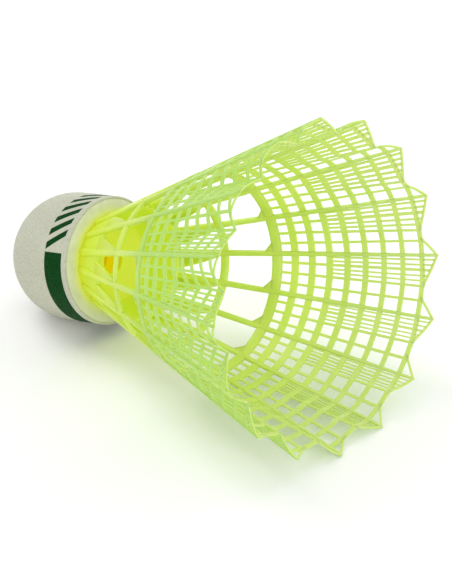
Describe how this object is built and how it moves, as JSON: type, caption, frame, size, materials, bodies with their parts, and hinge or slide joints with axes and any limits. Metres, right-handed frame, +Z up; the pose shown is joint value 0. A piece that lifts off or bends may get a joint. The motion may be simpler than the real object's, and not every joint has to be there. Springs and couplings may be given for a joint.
{
  "type": "badminton shuttlecock",
  "caption": "Shuttlecock with a round cork base in a thin skin and a flared open skirt of moulded nylon stems, hoops and net.",
  "frame": {"origin": "on the floor under the middle of the shuttle's box, as it lies on its side", "axes": "+Z up; +X along the floor from the round base to the open mouth; the shuttle's own axis rises about 15 degrees towards +X"},
  "size_m": [0.0886, 0.065, 0.0627],
  "materials": {
    "base_skin": "fine-grained matt white skin with a printed dark green ring",
    "cork": "bare agglomerated cork",
    "cork_face": "cork layer with a white primed rear face",
    "nylon": "translucent moulded nylon, fluorescent yellow-green, semi-gloss",
    "nylon_stem": "translucent moulded nylon ribs, fluorescent yellow-green, semi-gloss"
  },
  "bodies": {
    "root": {"base_cover": "base_skin", "cork_nose": "cork", "cork_tail": "cork_face", "skirt_collar": "nylon", "crossbar_hoop": "nylon", "band_hoop": "nylon", "stem_01": "nylon_stem", "net_01": "nylon", "stem_02": "nylon_stem", "net_02": "nylon", "stem_03": "nylon_stem", "net_03": "nylon", "stem_04": "nylon_stem", "net_04": "nylon", "stem_05": "nylon_stem", "net_05": "nylon", "stem_06": "nylon_stem", "net_06": "nylon", "stem_07": "nylon_stem", "net_07": "nylon", "stem_08": "nylon_stem", "net_08": "nylon", "stem_09": "nylon_stem", "net_09": "nylon", "stem_10": "nylon_stem", "net_10": "nylon", "stem_11": "nylon_stem", "net_11": "nylon", "stem_12": "nylon_stem", "net_12": "nylon", "stem_13": "nylon_stem", "net_13": "nylon", "stem_14": "nylon_stem", "net_14": "nylon", "stem_15": "nylon_stem", "net_15": "nylon", "stem_16": "nylon_stem", "net_16": "nylon"}
  },
  "joints": []
}
